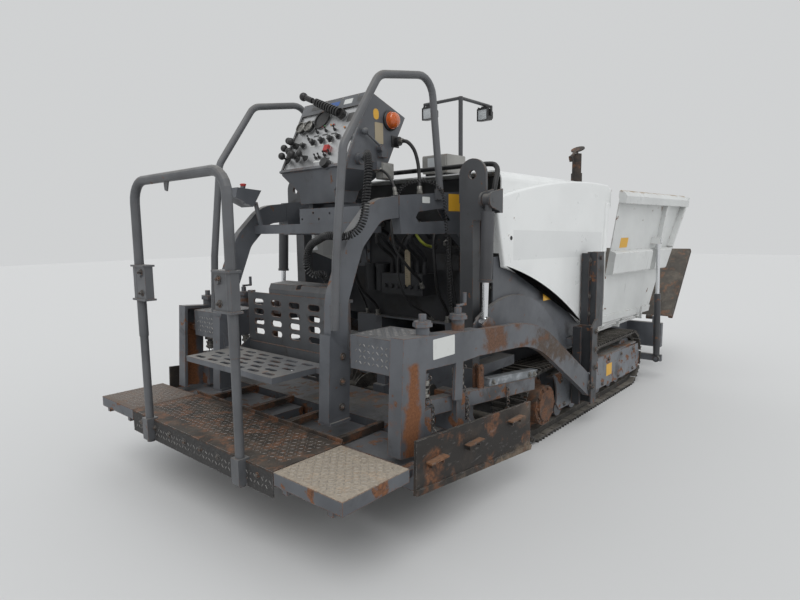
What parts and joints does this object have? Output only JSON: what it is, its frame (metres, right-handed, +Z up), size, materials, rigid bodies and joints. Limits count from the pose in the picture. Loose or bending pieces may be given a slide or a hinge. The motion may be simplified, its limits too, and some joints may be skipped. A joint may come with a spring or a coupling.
{
  "type": "small tracked asphalt paver",
  "caption": "Small tracked asphalt paver with a folding hopper, an extending screed on tow arms, a rear walkway and an operator stand.",
  "frame": {"origin": "on the ground under the middle of the machine", "axes": "+X forward to the hopper, +Y to the left, +Z up"},
  "size_m": [5.349, 2.288, 2.4858],
  "materials": {
    "grey_paint": "worn bluish grey paint with rust at the edges",
    "dark_paint": "dark grey paint, dusty",
    "white_paint": "white paint, dirty along the edges",
    "track_steel": "dark steel with dry dirt and rust",
    "worn_steel": "bare worn steel with brown rust",
    "chrome_rod": "polished rod",
    "amber_lens": "amber lens",
    "cable_rubber": "black cable sheath, dusty",
    "lamp_housing": "black housing"
  },
  "bodies": {
    "tractor": {"chassis": "grey_paint", "engine_block": "dark_paint", "bulkhead": "grey_paint", "hood": "white_paint", "track_left": "track_steel", "track_right": "track_steel", "track_frame_left": "grey_paint", "track_frame_right": "grey_paint", "sprocket_left": "track_steel", "sprocket_right": "track_steel", "side_cover_left": "white_paint", "side_cover_right": "white_paint", "fender_left": "grey_paint", "fender_right": "grey_paint", "lift_column_left": "grey_paint", "lift_column_right": "grey_paint", "tow_guide_left": "grey_paint", "tow_guide_right": "grey_paint", "hopper_base": "white_paint", "conveyor": "track_steel", "push_beam": "grey_paint", "auger_mount": "grey_paint", "gooseneck_left": "grey_paint", "gooseneck_right": "grey_paint", "hand_rail_left": "dark_paint", "hand_rail_right": "dark_paint", "neck_beam": "grey_paint", "console": "grey_paint", "beacon": "amber_lens", "step": "grey_paint", "step_guard": "grey_paint", "light_mast": "dark_paint", "work_lamps": "lamp_housing", "exhaust": "track_steel", "thick_cable": "cable_rubber", "thin_cable": "cable_rubber"},
    "screed": {"tow_arm_left": "grey_paint", "tow_arm_right": "grey_paint", "screed_frame": "grey_paint", "walkway": "worn_steel", "rear_rail": "dark_paint"},
    "flap": {"hopper_flap": "dark_paint"},
    "extension_left": {"extension_left": "grey_paint", "end_gate_left": "worn_steel"},
    "auger_left": {"auger_left": "track_steel"},
    "wing_left": {"wing_left": "white_paint"},
    "wing_cylinder_left": {"wing_cylinder_left": "dark_paint"},
    "wing_rod_left": {"wing_rod_left": "chrome_rod"},
    "lift_cylinder_left": {"lift_cylinder_left": "dark_paint"},
    "lift_rod_left": {"lift_rod_left": "chrome_rod"},
    "push_roller_left": {"push_roller_left": "worn_steel"},
    "extension_right": {"extension_right": "grey_paint", "end_gate_right": "worn_steel"},
    "auger_right": {"auger_right": "track_steel"},
    "wing_right": {"wing_right": "white_paint"},
    "wing_cylinder_right": {"wing_cylinder_right": "dark_paint"},
    "wing_rod_right": {"wing_rod_right": "chrome_rod"},
    "lift_cylinder_right": {"lift_cylinder_right": "dark_paint"},
    "lift_rod_right": {"lift_rod_right": "chrome_rod"},
    "push_roller_right": {"push_roller_right": "worn_steel"}
  },
  "joints": [
    {"name": "screed_lift", "type": "hinge", "parent": "tractor", "child": "screed", "pos_m": [-0.05, 0, 0.3], "axis": [0, 1, 0], "range_deg": [-6.5, 1]},
    {"name": "flap_tilt", "type": "hinge", "parent": "tractor", "child": "flap", "pos_m": [2.03, 0, 0.535], "axis": [0, 1, 0], "range_deg": [-32, 25]},
    {"name": "extension_left_slide", "type": "slide", "parent": "screed", "child": "extension_left", "axis": [0, 1, 0], "range_m": [0, 0.5]},
    {"name": "auger_left_spin", "type": "hinge", "parent": "tractor", "child": "auger_left", "pos_m": [-1.18, 0, 0.32], "axis": [0, 1, 0], "continuous": true},
    {"name": "push_roller_left_spin", "type": "hinge", "parent": "tractor", "child": "push_roller_left", "pos_m": [2.205, 0, 0.37], "axis": [0, 1, 0], "continuous": true},
    {"name": "wing_left_fold", "type": "hinge", "parent": "tractor", "child": "wing_left", "pos_m": [0.684, 0.74, 0.61], "axis": [1, 0, 0], "range_deg": [0, 30]},
    {"name": "wing_cylinder_left_tilt", "type": "hinge", "parent": "tractor", "child": "wing_cylinder_left", "pos_m": [1.525, 1, 0.215], "axis": [1, 0, 0], "range_deg": [0, 25]},
    {"name": "wing_rod_left_slide", "type": "slide", "parent": "wing_cylinder_left", "child": "wing_rod_left", "axis": [0, -0.0224, 0.9997], "range_m": [0, 0.15]},
    {"name": "lift_cylinder_left_tilt", "type": "hinge", "parent": "tractor", "child": "lift_cylinder_left", "pos_m": [-1.31, 0.91, 1.613], "axis": [0, 1, 0], "range_deg": [-3, 6]},
    {"name": "lift_rod_left_slide", "type": "slide", "parent": "lift_cylinder_left", "child": "lift_rod_left", "axis": [-0.0512, 0, -0.9987], "range_m": [-0.06, 0.2]},
    {"name": "extension_right_slide", "type": "slide", "parent": "screed", "child": "extension_right", "axis": [0, -1, 0], "range_m": [0, 0.5]},
    {"name": "auger_right_spin", "type": "hinge", "parent": "tractor", "child": "auger_right", "pos_m": [-1.18, 0, 0.32], "axis": [0, 1, 0], "continuous": true},
    {"name": "push_roller_right_spin", "type": "hinge", "parent": "tractor", "child": "push_roller_right", "pos_m": [2.205, 0, 0.37], "axis": [0, 1, 0], "continuous": true},
    {"name": "wing_right_fold", "type": "hinge", "parent": "tractor", "child": "wing_right", "pos_m": [0.684, -0.74, 0.61], "axis": [-1, 0, 0], "range_deg": [0, 30]},
    {"name": "wing_cylinder_right_tilt", "type": "hinge", "parent": "tractor", "child": "wing_cylinder_right", "pos_m": [1.525, -1, 0.215], "axis": [-1, 0, 0], "range_deg": [0, 25]},
    {"name": "wing_rod_right_slide", "type": "slide", "parent": "wing_cylinder_right", "child": "wing_rod_right", "axis": [0, 0.0224, 0.9997], "range_m": [0, 0.15]},
    {"name": "lift_cylinder_right_tilt", "type": "hinge", "parent": "tractor", "child": "lift_cylinder_right", "pos_m": [-1.31, -0.91, 1.613], "axis": [0, 1, 0], "range_deg": [-3, 6]},
    {"name": "lift_rod_right_slide", "type": "slide", "parent": "lift_cylinder_right", "child": "lift_rod_right", "axis": [-0.0512, 0, -0.9987], "range_m": [-0.06, 0.2]}
  ],
  "couplings": [
    {"joint": "wing_cylinder_left_tilt", "follows": "wing_left_fold", "ratio": 0.6307},
    {"joint": "wing_rod_left_slide", "follows": "wing_left_fold", "m_per_rad": 0.19295},
    {"joint": "lift_cylinder_left_tilt", "follows": "screed_lift", "ratio": -0.6162},
    {"joint": "lift_rod_left_slide", "follows": "screed_lift", "m_per_rad": -1.3665},
    {"joint": "wing_cylinder_right_tilt", "follows": "wing_right_fold", "ratio": 0.6307},
    {"joint": "wing_rod_right_slide", "follows": "wing_right_fold", "m_per_rad": 0.19295},
    {"joint": "lift_cylinder_right_tilt", "follows": "screed_lift", "ratio": -0.6162},
    {"joint": "lift_rod_right_slide", "follows": "screed_lift", "m_per_rad": -1.3665}
  ]
}
